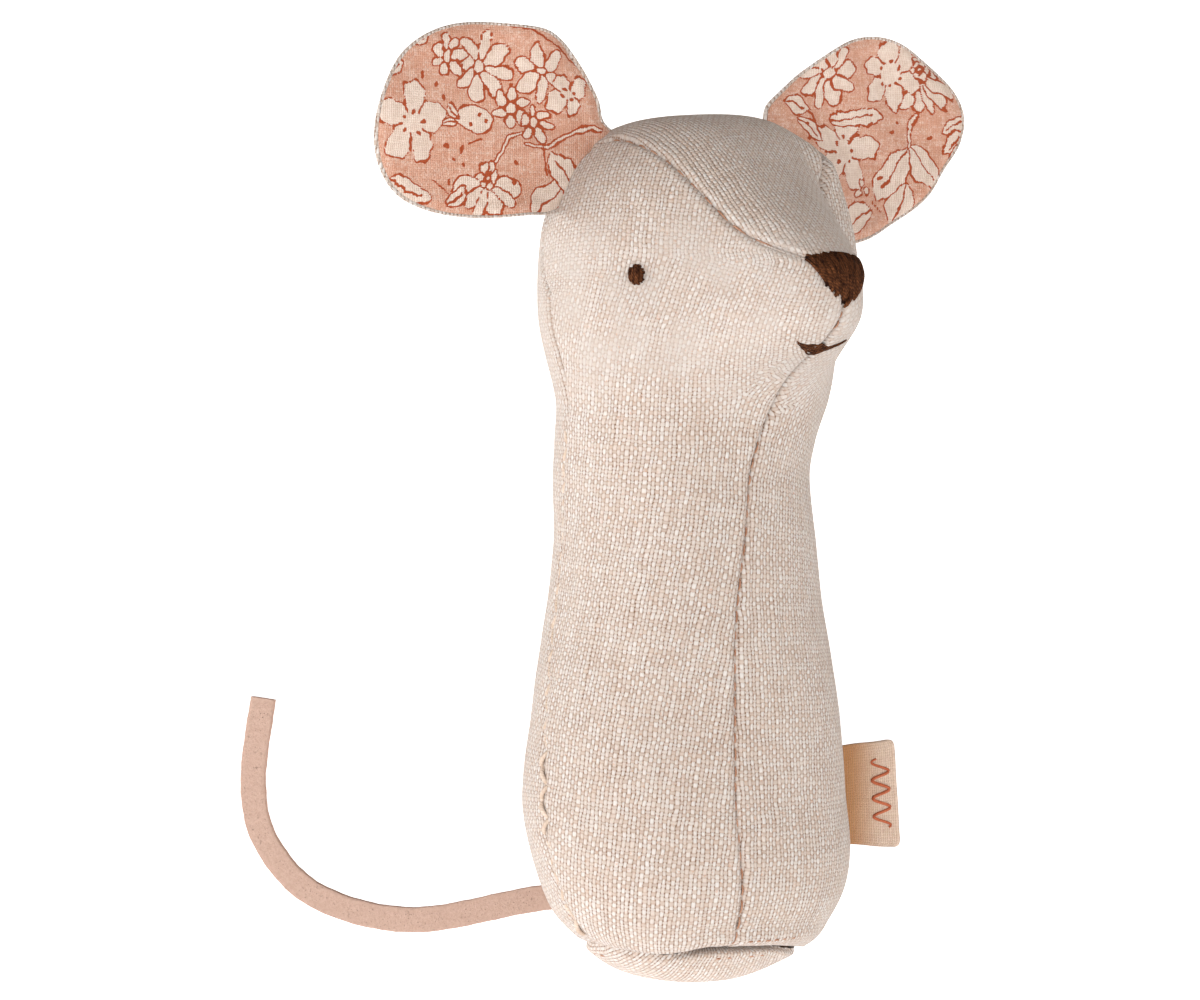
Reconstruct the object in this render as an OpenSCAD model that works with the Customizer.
// Linen mouse hand rattle: a stuffed, slightly twisted fabric body with a rattle capsule inside.
// Origin at the centre of the flat resting face, +Z up, the head faces -Y, millimetres.

/* [Body] */
// Height of the top of the crown above the resting face
crown_z = 135.5; // [132:0.5:138]
// Height of the widest part of the cheeks
cheek_z = 107; // [105:0.5:109]
// Height of the waist, where the body is narrowest
waist_z = 77; // [72:1:82]
// Height of the widest part of the belly
belly_z = 26; // [24:0.5:30]
// Height of the seam round the base panel
base_seam_z = 4.4; // [4:0.1:5]
// Half width of the belly
belly_half_w = 26; // [24:0.5:28]
// Half width of the waist
waist_half_w = 19.9; // [19:0.1:22]
// Half width of the cheeks
cheek_half_w = 24; // [23:0.5:26]
// How far the front of the base is turned towards the mouse's right, in degrees
base_turn = 16; // [0:1:20]
// Thickness of the linen
cloth_t = 0.8; // [0.6:0.1:1]

/* [Snout] */
// How far the snout stands out in front of the face
snout_reach = 16.5; // [12:0.5:18]
// Half width of the snout where it leaves the face
snout_half_w = 12.5; // [11:0.5:13]
// Height of the middle of the snout
snout_z = 105.5; // [104:0.5:107]

/* [Ears] */
// Half length of an ear's oval
ear_half_l = 20; // [18:0.2:22]
// Half height of the right ear's oval
right_ear_half_h = 15.2; // [14:0.2:17]
// Half height of the left ear's oval
left_ear_half_h = 16.2; // [14:0.2:17]
// Thickness of one layer of ear cloth
ear_layer_t = 0.7; // [0.5:0.1:0.9]

/* [Tail and label] */
// Width of the suede strip
tail_w = 4.1; // [3.5:0.1:4.5]
// Thickness of the suede strip
tail_t = 1.4; // [1:0.1:1.6]
// Height of the woven label
label_h = 15.7; // [12:0.1:18]
// How far the folded label stands out of the side seam
label_out = 10.2; // [8:0.1:14]
// Thickness of one ply of the label
label_ply_t = 0.45; // [0.3:0.05:0.5]

/* [Rattle] */
// Outer radius of the capsule
capsule_r = 14; // [13:0.5:14.5]
// Wall of the capsule
capsule_wall = 1.2; // [1:0.1:1.4]
// Radius of a pellet
pellet_r = 2.4; // [2:0.1:2.6]

/* [Hidden] */

// Half width, front depth and back depth of the body at its three main heights
belly = [belly_half_w, 20, 19.6];
waist = [waist_half_w, 19.4, 19];
cheek = [cheek_half_w, 21.2, 20.4];
bottom_z = -0.8;             // where the round base would end if it were not flat
level_power = 2.15;          // squareness of the level sections
crown_power = 2.4;           // squareness of the crown
base_power = 2.42;           // squareness of the base
twist_z = [50, 98];          // the twist unwinds between these heights
right_side_turn = 80;        // the right side seam is this far round from the front seam
left_side_turn = 88;         // and the left one this far
nape_turn = 100;             // both meet the head this far round
side_z = [25, 80];           // they move round between these heights
// Sideways leans of the stuffed body: how far, and the heights between which each one grows
// and fades again
leans = [[1.6, 0, 8, 12, 30], [-0.6, 68, 79, 79, 86], [0.9, 84, 91, 92, 104]];
lean_heading = -38;          // degrees from +X towards +Y
snout_up = 16.5;             // height of the slope above the snout
snout_down = 9.8;            // height of the chin below the snout
seam_gap = 0.1;              // between the edges of two panels
neck_z = 92;
capsule_z = 45;
filling_gap = 0.4;           // between the filling and the cloth round it
// Along the gusset and side seam: angle from the nose over the crown to the nape, and the
// seam's angle out from the middle of the head there
seam_arc = [[7, 0], [11, 12], [18, 22], [27, 27], [42, 29], [70, 32], [92, 33], [120, 56],
    [150, 72], [180, 180 - nape_turn]];
// Ears: height and distance out of the root's middle, and how far back it sits
ear_root = [20, 4, 126];
ear_gap = 1;
right_ear_centre = [13.5, 7.3];  // middle of the oval, out from and above the root
left_ear_centre = [19.5, 8];
right_ear_sweep = 9;         // degrees back from straight out
left_ear_sweep = -5;
// Tail: its root, its heading and the points it runs through, out from the root and up
tail_z = 11;
tail_gap = 1.8;
tail_heading = 134;          // degrees from +X towards +Y
tail_route = [[0, 11], [17, 10], [38.5, 6], [54.5, 9.5], [63, 18], [65.3, 28], [63.5, 42]];
label_z = 27.8;                // height of the label's middle
label_gap = 1.1;
label_space = 0.2;           // between its two plies
capsule_lap = 1.6;           // height of the joint between the two shells
capsule_clear = 0.05;
pellet_ring_r = 6.5;
pellet_clear = 0.3;
thread_d = 0.45;
stitch_pitch = 2.6;
stitch_l = 1.9;

linen = [0.85, 0.79, 0.74];
print_pink = [0.84, 0.65, 0.55];
brown = [0.3, 0.16, 0.1];
rust = [0.6, 0.42, 0.33];

function ease(t) = let(c = min(1, max(0, t))) c * c * (3 - 2 * c);
function mix(a, b, t) = a + (b - a) * t;
function dome(t, power) = pow(max(0, 1 - pow(min(1, max(0, t)), power)), 1 / power);
function bell(t, power) = exp(-pow(abs(t), power));
function unit(v) = v / norm(v);

// Half width, front depth and back depth of the level section at height z
function section(z, inset) = let(in3 = [inset, inset, inset])
    z < belly_z ? (belly - in3) * dome((belly_z - z) / (belly_z - bottom_z - inset), base_power)
    : z < waist_z ? mix(belly, waist, ease((z - belly_z) / (waist_z - belly_z))) - in3
    : mix(waist, cheek, ease((z - waist_z) / (cheek_z - waist_z))) - in3;

function level_radius(turn, s) = let(depth = cos(turn) > 0 ? s[1] : s[2])
    pow(pow(abs(sin(turn)) / s[0], level_power) + pow(abs(cos(turn)) / depth, level_power),
        -1 / level_power);

function twist(z) = -base_turn * (1 - ease((z - twist_z[0]) / (twist_z[1] - twist_z[0])));

function lean(z) = [for (l = leans) 1] * [for (l = leans)
    l[0] * ease((z - l[1]) / (l[2] - l[1])) * (1 - ease((z - l[3]) / (l[4] - l[3])))];

// How far round from the front seam a side seam is; side is -1 or 1
function side_turn(side, z) = mix(side < 0 ? right_side_turn : left_side_turn, nape_turn,
    ease((z - side_z[0]) / (side_z[1] - side_z[0])));

// The snout is the front of the head pulled forward
function pulled(p) = let(rise = p.z - snout_z,
        width_share = bell(p.x / snout_half_w, 2.8),
        height_share = rise > 0 ? bell(rise / snout_up, 2.3) : bell(rise / snout_down, 2.6))
    p - [0, snout_reach * width_share * height_share * ease(-p.y / 10), 0];

// Point of the skin below the cheeks, at a turn round from the front and a height
function low_point(turn, z, inset) =
    let(r = level_radius(turn, section(z, inset)), a = turn + twist(z))
    pulled([r * sin(a), -r * cos(a), z])
        + lean(z) * [cos(lean_heading), sin(lean_heading), 0];

// Point of the skin above the cheeks, seen in a direction from the middle of the head
function head_point(direction, inset) = let(
        d = unit(direction),
        depth = (d.y < 0 ? cheek[1] : cheek[2]) - inset,
        level = pow(abs(d.x) / (cheek[0] - inset), level_power)
            + pow(abs(d.y) / depth, level_power),
        rise = pow(abs(d.z) / (crown_z - cheek_z - inset), crown_power),
        r = pow(pow(level, crown_power / level_power) + rise, -1 / crown_power))
    pulled([0, 0, cheek_z] + r * d);

function direction(turn, climb) =
    [sin(turn) * cos(climb), -cos(turn) * cos(climb), sin(climb)];
function across(arc, out) = [sin(out), -cos(out) * cos(arc), cos(out) * sin(arc)];

// Any skin point: below the cheeks up is a height, above them it is degrees of climb
function skin(turn, up, inset) = up < cheek_z ? low_point(turn, up, inset)
    : head_point(direction(turn, up - cheek_z), inset);

// Closed solid through a stack of rings with the same even number of points each.
// Rings run anticlockwise seen from the far end of the stack.
module loft(rings) {
    n = len(rings[0]);
    m = len(rings);
    cap = [for (k = [0:n / 2 - 2]) each [[k, k + 1, n - 2 - k], [k, n - 2 - k, n - 1 - k]]];
    sides = [for (j = [0:m - 2], i = [0:n - 1]) let(k = (i + 1) % n)
        each [[j * n + i, j * n + n + i, j * n + n + k], [j * n + i, j * n + n + k, j * n + k]]];
    top_cap = [for (t = cap) [for (k = [2:-1:0]) (m - 1) * n + t[k]]];
    polyhedron([for (r = rings) each r], concat(cap, sides, top_cap));
}

// Ring of a strip of cloth from its outer and inner rows of points
function ply(outer, inner) = concat(outer, [for (i = [len(inner) - 1:-1:0]) inner[i]]);

panel_levels = [base_seam_z + seam_gap, 7, 10, 14, 20, 27, 35, 43, 51, 59, 66, 72, 78, 84, 89, 94,
    97.5, 100.5, 103.5];

function low_row(from, to, steps, z, inset) =
    [for (i = [0:steps]) low_point(mix(from, to, i / steps), z, inset)];
edge_turn = 0.3;             // turn that leaves half the gap beside a seam

// One side of the front, from the base up the chin, cheek and temple; side is -1 or 1
side_steps = 10;
function seam_out(arc) = max(0, lookup(arc, seam_arc));
function side_row(side, t, inset) = let(
        front_arc = mix(0, 93, t), back_arc = mix(180, 99, t),
        front = across(front_arc, side * (seam_out(front_arc) + edge_turn)),
        back = across(back_arc, side * (seam_out(back_arc) + edge_turn)),
        from = side < 0 ? back : front, to = side < 0 ? front : back)
    [for (i = [0:side_steps]) head_point(mix(unit(from), unit(to), i / side_steps), inset)];
function front_row(side, z, inset) = let(far = side * (side_turn(side, z) - edge_turn))
    side < 0 ? low_row(far, -edge_turn, side_steps, z, inset)
    : low_row(edge_turn, far, side_steps, z, inset);
module front_panel(side) {
    low = [for (z = panel_levels) ply(front_row(side, z, 0), front_row(side, z, cloth_t))];
    high = [for (t = [0:0.08:0.96]) ply(side_row(side, t, 0), side_row(side, t, cloth_t))];
    color(linen) loft(concat(low, high));
}

// The back, which carries on over the crown and down to the nose as the head gusset
back_steps = 18;
function back_row(z, inset) = low_row(side_turn(1, z) + edge_turn,
    360 - side_turn(-1, z) - edge_turn, back_steps, z, inset);
function gusset_row(arc, inset) = let(out = seam_out(arc) - edge_turn)
    [for (i = [0:back_steps]) head_point(across(arc, mix(out, -out, i / back_steps)), inset)];
module back_panel() {
    low = [for (z = panel_levels) ply(back_row(z, 0), back_row(z, cloth_t))];
    high = [for (arc = [180:-8:12]) ply(gusset_row(arc, 0), gusset_row(arc, cloth_t))];
    color(linen) loft(concat(low, high));
}

function round_row(steps, up, inset) =
    [for (i = [0:steps - 1]) skin(i * 360 / steps, up, inset)];

// Shallow cup with a flat resting face
module base_panel() {
    edge = base_seam_z - seam_gap;
    outer = [for (z = [-0.5, 0.5, 1.5, 2.9, edge]) round_row(36, z, 0)];
    inner = [for (z = [edge, 3, 1.8, cloth_t]) round_row(36, z, cloth_t)];
    color(linen) difference() {
        loft(concat(outer, inner));
        translate([-50, -50, -10]) cube([100, 100, 10]);
    }
}

// A wad of filling between two heights
module wad(levels) {
    loft([for (up = levels) round_row(24, up, cloth_t + filling_gap)]);
}
module body_filling_lower() {
    color("white") difference() {
        wad([1.4, 2.4, 4, 7, 12, 19, 27, 36, capsule_z - 0.1]);
        translate([0, 0, capsule_z]) sphere(r = capsule_r + 0.2, $fn = 64);
    }
}
module body_filling_upper() {
    color("white") difference() {
        wad([capsule_z + 0.1, 53, 61, 69, 77, 85, neck_z - 0.1]);
        translate([0, 0, capsule_z]) sphere(r = capsule_r + 0.2, $fn = 64);
    }
}
module head_filling() {
    climbs = [0, 8, 16, 26, 38, 50, 62, 74, 86];
    color("white") wad(concat([neck_z + 0.1, 96, 99, 101.5, 104], [for (c = climbs) cheek_z + c]));
}

// One layer of an ear, cut clear of the head; side is -1 or 1, layer 0 is the front one
head_profile = [for (z = [cheek_z:2:crown_z - 2])
    [(cheek[0] + ear_gap) * dome((z - cheek_z) / (crown_z - cheek_z + ear_gap), crown_power)
        - ear_root.x, z - ear_root.z]];
module ear_layer(side, layer) {
    centre = side < 0 ? right_ear_centre : left_ear_centre;
    half_h = side < 0 ? right_ear_half_h : left_ear_half_h;
    translate([side * ear_root.x, ear_root.y, ear_root.z])
        mirror([side < 0 ? 1 : 0, 0, 0])
        rotate([90, 0, side < 0 ? right_ear_sweep : left_ear_sweep])
        translate([0, 0, layer == 0 ? 0.02 : -ear_layer_t - 0.02])
        linear_extrude(ear_layer_t) difference() {
            union() {
                polygon([for (a = [0:7.5:359]) centre + [ear_half_l * cos(a), half_h * sin(a)]]);
                polygon([[-5, 6.6], [3, -8], [centre.x, centre.y - 0.95 * half_h],
                    [centre.x, centre.y + 0.9 * half_h]]);
            }
            polygon(concat([[-60, cheek_z - ear_root.z - 5]],
                [[head_profile[0].x, cheek_z - ear_root.z - 5]], head_profile,
                [[-60, crown_z + ear_gap - ear_root.z]]));
        }
}

under = 0.25;                // how far a mound's underside stands clear of the skin
// Low mound of stitches on the skin round a point, inside an outline of [turn, up] steps
module mound(turn, up, outline, height) {
    levels = [[0.35, under], [0.7, under], [1, 0.1], [0.96, 0.6 * height], [0.75, 0.9 * height],
        [0.4, height]];
    color(brown) loft([for (l = levels)
        [for (p = outline) skin(turn + p[0] * l[0], up + p[1] * l[0], -l[1])]]);
}
eye_outline = [for (a = [0:30:330]) [2.6 * cos(a), 3.4 * sin(a)]];
nose_outline = [[0, -7.3], [4, -6], [8.5, -1.8], [12.8, 3.8], [14.2, 6], [12.4, 7.3], [6.5, 8],
    [0, 8.2], [-6.5, 8], [-12.4, 7.3], [-14.2, 6], [-12.8, 3.8], [-8.5, -1.8], [-4, -6]];

eye_turn = 58;
eye_up = cheek_z + 6.8;

// Curved smile: a thin lens of stitches on each side of the front seam
smile_half = 14;
module mouth() {
    rows = [for (x = [-smile_half:smile_half / 6:smile_half]) let(
        share = 1 - pow(x / smile_half, 2), mid = 99.9 - 2 * share, half = 0.15 + 0.55 * share)
        [skin(x, mid - half, -0.06), skin(x, mid - half, -0.5), skin(x, mid + half, -0.5),
            skin(x, mid + half, -0.06)]];
    color(brown) loft(rows);
}

// Smooth line through points, for a strip of even width
function spline(p, steps) = [for (i = [0:len(p) - 2], s = [0:steps - 1]) let(
        t = s / steps, a = p[max(0, i - 1)], b = p[i], c = p[i + 1], d = p[min(len(p) - 1, i + 2)])
    0.5 * (2 * b + (c - a) * t + (2 * a - 5 * b + 4 * c - d) * t * t
        + (3 * b - a - 3 * c + d) * t * t * t)];
function heading(p, i) = unit(p[min(len(p) - 1, i + 1)] - p[max(0, i - 1)]);
function side_of(p, half) = [for (i = [0:len(p) - 1]) let(h = heading(p, i))
    p[i] + half * [-h.y, h.x]];
tail_line = concat(spline(tail_route, 6), [tail_route[len(tail_route) - 1]]);
tail_root = let(p = low_point(180, tail_z, -tail_gap)) [p.x, p.y];
module tail() {
    left = side_of(tail_line, tail_w / 2);
    right = side_of(tail_line, -tail_w / 2);
    color([0.87, 0.76, 0.71]) translate([tail_root.x, tail_root.y, 0])
        rotate([90, 0, tail_heading]) translate([0, 0, -tail_t / 2])
        linear_extrude(tail_t) polygon(concat(left, [for (i = [len(right) - 1:-1:0]) right[i]]));
}

// Woven tape folded in two, with its cut ends in the side seam
label_root = low_point(left_side_turn, label_z, -label_gap);
module label() {
    half = label_ply_t + label_space / 2;
    color([0.93, 0.84, 0.7]) translate([label_root.x, label_root.y, label_z - label_h / 2])
        rotate([0, 0, left_side_turn - base_turn - 92]) linear_extrude(label_h) difference() {
            union() {
                translate([0, -half]) square([label_out - half, 2 * half]);
                translate([label_out - half, 0]) circle(r = half, $fn = 32);
            }
            translate([-1, -label_space / 2]) square([1 + label_out - half, label_space]);
            translate([label_out - half, 0]) circle(r = label_space / 2, $fn = 32);
        }
}

// Half shell of the capsule, from a turned profile; the upper one laps outside the lower
module rattle_shell(upper) {
    inner_r = capsule_r - capsule_wall;
    mid_r = capsule_r - capsule_wall / 2;
    color([0.9, 0.9, 0.86]) translate([0, 0, capsule_z]) mirror([0, 0, upper ? 0 : 1])
        rotate_extrude($fn = 72) {
            difference() {
                intersection() {
                    circle(r = capsule_r, $fn = 96);
                    translate([0, upper ? capsule_clear : 0]) square(capsule_r + 1);
                }
                circle(r = inner_r, $fn = 96);
                if (!upper) translate([mid_r - capsule_clear, -1])
                    square([capsule_wall, capsule_lap + 1 + capsule_clear]);
                if (upper) translate([0, -1]) square([mid_r, 1.2]);
            }
            if (upper) translate([mid_r, -capsule_lap]) square([capsule_r - mid_r - 0.03,
                capsule_lap + 0.3]);
        }
}

module pellet(x, y, below) {
    color([0.75, 0.75, 0.78]) translate([x, y, capsule_z - below]) sphere(r = pellet_r, $fn = 32);
}
pellet_reach = capsule_r - capsule_wall - pellet_r - pellet_clear;
module ring_pellet(i) {
    pellet(pellet_ring_r * cos(72 * i), pellet_ring_r * sin(72 * i),
        sqrt(pow(pellet_reach, 2) - pow(pellet_ring_r, 2)));
}

// Straight stitch between two points
module stitch(a, b) {
    d = b - a;
    translate(a) rotate([0, acos(d.z / norm(d)), atan2(d.y, d.x)])
        cylinder(h = norm(d), d = thread_d, $fn = 16);
}
thread_clear = 0.12;
thread_out = -(thread_d / 2 + thread_clear);
module front_seam_thread() {
    color(rust) for (z = [7:stitch_pitch:90])
        stitch(skin(0, z, thread_out), skin(0, z + stitch_l, thread_out));
}
// Leaves room for the label
module left_seam_thread() {
    clear = label_h / 2 + 2.5;
    color(rust) for (z = [7:stitch_pitch:102]) let(end = z + stitch_l)
        if (abs(z - label_z) > clear) stitch(skin(side_turn(1, z), z, thread_out),
            skin(side_turn(1, end), end, thread_out));
}
// Hand stitches that cross the seam in turn
module closing_thread() {
    color(rust) for (z = [8:stitch_pitch:86]) let(turn = -side_turn(-1, z))
        stitch(skin(turn - 1.6, z, thread_out), skin(turn + 1.6, z + 1.1, thread_out));
}
module head_seam_thread(side) {
    color(rust) for (arc = [27:6.5:88])
        stitch(head_point(across(arc, side * seam_out(arc)), thread_out),
            head_point(across(arc + 4.5, side * seam_out(arc + 4.5)), thread_out));
}
module base_seam_thread() {
    color(rust) for (turn = [4:9:359])
        stitch(skin(turn, base_seam_z, thread_out), skin(turn + 6, base_seam_z, thread_out));
}

front_panel(-1);  // front_panel_right
front_panel(1);  // front_panel_left
back_panel();
base_panel();
body_filling_lower();
body_filling_upper();
head_filling();
color(print_pink) ear_layer(-1, 0);  // ear_right_front
color(linen) ear_layer(-1, 1);  // ear_right_back
color(print_pink) ear_layer(1, 0);  // ear_left_front
color(linen) ear_layer(1, 1);  // ear_left_back
mound(-eye_turn, eye_up, eye_outline, 0.8);  // eye_right
mound(eye_turn, eye_up, eye_outline, 0.8);  // eye_left
mound(0, cheek_z + 5.6, nose_outline, 1.1);  // nose
mouth();
tail();
label();
rattle_shell(false);  // rattle_shell_lower
rattle_shell(true);  // rattle_shell_upper
pellet(0, 0, pellet_reach);  // pellet_middle
ring_pellet(1);  // pellet_1
ring_pellet(2);  // pellet_2
ring_pellet(3);  // pellet_3
ring_pellet(4);  // pellet_4
ring_pellet(5);  // pellet_5
front_seam_thread();
closing_thread();
left_seam_thread();
head_seam_thread(-1);  // head_seam_thread_right
head_seam_thread(1);  // head_seam_thread_left
base_seam_thread();
